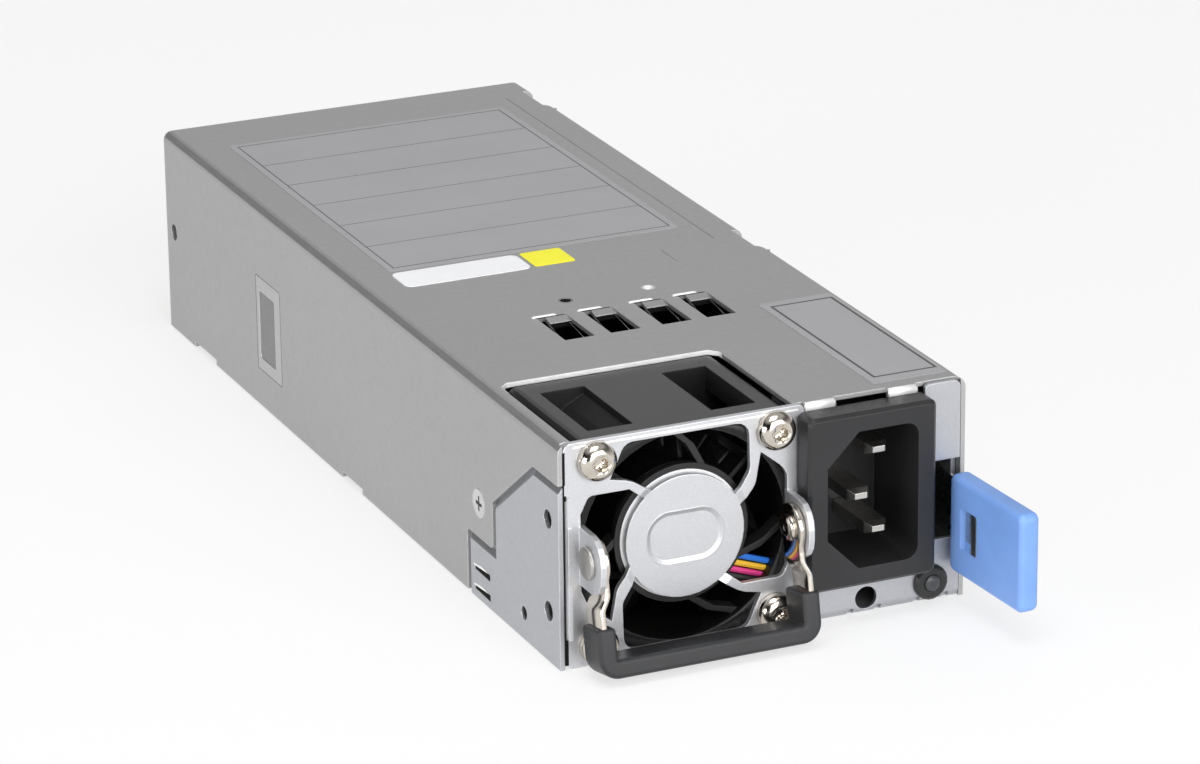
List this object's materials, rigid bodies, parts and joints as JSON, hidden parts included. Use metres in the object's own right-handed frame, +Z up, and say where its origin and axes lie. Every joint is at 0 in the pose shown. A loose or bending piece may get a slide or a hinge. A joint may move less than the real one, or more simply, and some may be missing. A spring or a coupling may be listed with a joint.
{
  "type": "hot swap server power supply",
  "caption": "Slim sheet-steel server power supply module: front fan behind a stamped guard with a folding bail handle, mains inlet, spring release latch, vented rear with card edge.",
  "frame": {"origin": "middle of the underside of the case, halfway between its front and rear faces", "axes": "+X to the right seen from the front, +Y from the front face to the card edge, +Z up"},
  "size_m": [0.0755, 0.221, 0.039],
  "materials": {
    "galvanised_steel": "matt zinc plated",
    "guard_steel": "satin zinc plated",
    "nickel_steel": "bright nickel plated",
    "screw_steel": "plated",
    "fan_plastic": "moulded, fine grain",
    "steel": "ground",
    "motor_core": "laminated",
    "magnet": "bonded ferrite",
    "green_board": "solder mask",
    "white_nylon": "moulded",
    "grip_plastic": "moulded, fine grain",
    "inlet_plastic": "moulded",
    "brass_pins": "nickel plated",
    "gold": "gold plated",
    "bezel_plastic": "moulded",
    "lens": "diffuse lens",
    "spring_steel": "rolled",
    "tab_blue": "moulded, satin",
    "film": "polyester film",
    "cap_yellow": "moulded",
    "cap_blue": "dipped",
    "fuse_ceramic": "unglazed",
    "relay_plastic": "moulded",
    "ferrite": "sintered",
    "copper_wire": "enamelled copper",
    "can_sleeve": "shrink sleeve",
    "epoxy": "moulded",
    "heatsink": "extruded",
    "tape": "polyester tape",
    "lead_blue": "PVC",
    "lead_yellow": "PVC",
    "lead_red": "PVC",
    "lead_black": "PVC",
    "lead_white": "PVC",
    "lead_green": "PVC"
  },
  "bodies": {
    "case": {"chassis_tray": "galvanised_steel", "top_cover": "galvanised_steel", "latch_foot": "galvanised_steel", "fan_guard": "guard_steel", "guard_screws": "nickel_steel", "handle_rivets": "nickel_steel", "cover_screws": "screw_steel", "pcb_screws": "screw_steel", "pcb_standoffs": "screw_steel", "latch_rivets": "screw_steel", "fan_frame": "fan_plastic", "fan_bearings": "steel", "fan_stator": "motor_core", "fan_motor_board": "green_board", "main_pcb": "green_board", "control_board": "green_board", "fan_plug": "white_nylon", "fan_header": "white_nylon", "inlet_housing": "inlet_plastic", "inlet_pins": "brass_pins", "gold_fingers": "gold", "led_bezel": "bezel_plastic", "status_led": "lens", "insulating_sheet": "film", "x_capacitors": "cap_yellow", "y_capacitors": "cap_blue", "fuse_link": "fuse_ceramic", "relay": "relay_plastic", "filter_choke_cores": "ferrite", "boost_choke_core": "ferrite", "transformer_core": "ferrite", "filter_choke_windings": "copper_wire", "boost_choke_winding": "copper_wire", "bulk_capacitor": "can_sleeve", "output_capacitors": "can_sleeve", "bridge_rectifier": "epoxy", "power_transistors": "epoxy", "primary_heatsink": "heatsink", "output_heatsink": "heatsink", "transformer_windings": "tape", "standby_transformer": "tape", "fan_lead_blue": "lead_blue", "fan_lead_yellow": "lead_yellow", "fan_lead_red": "lead_red", "fan_lead_black": "lead_black", "inlet_lead_live": "lead_black", "inlet_lead_neutral": "lead_white", "inlet_lead_earth": "lead_green"},
    "handle": {"handle_strap": "nickel_steel", "handle_grip": "grip_plastic"},
    "fan_rotor": {"fan_impeller": "fan_plastic", "fan_shaft": "steel", "fan_magnet_ring": "magnet"},
    "latch": {"latch_spring": "spring_steel", "latch_tab": "tab_blue"}
  },
  "joints": [
    {"name": "handle_hinge", "type": "hinge", "parent": "case", "child": "handle", "pos_m": [-0.0141, -0.096, 0.0195], "axis": [-1, 0, 0], "range_deg": [0, 158.3]},
    {"name": "fan_spin", "type": "hinge", "parent": "case", "child": "fan_rotor", "pos_m": [-0.0141, -0.078, 0.0195], "axis": [0, 1, 0], "continuous": true},
    {"name": "latch_press", "type": "hinge", "parent": "case", "child": "latch", "pos_m": [0.0346, -0.0475, 0.017], "axis": [0, 0, -1], "range_deg": [0, 3.5], "stiffness_Nm_per_rad": 4, "springref_deg": -1.72}
  ]
}
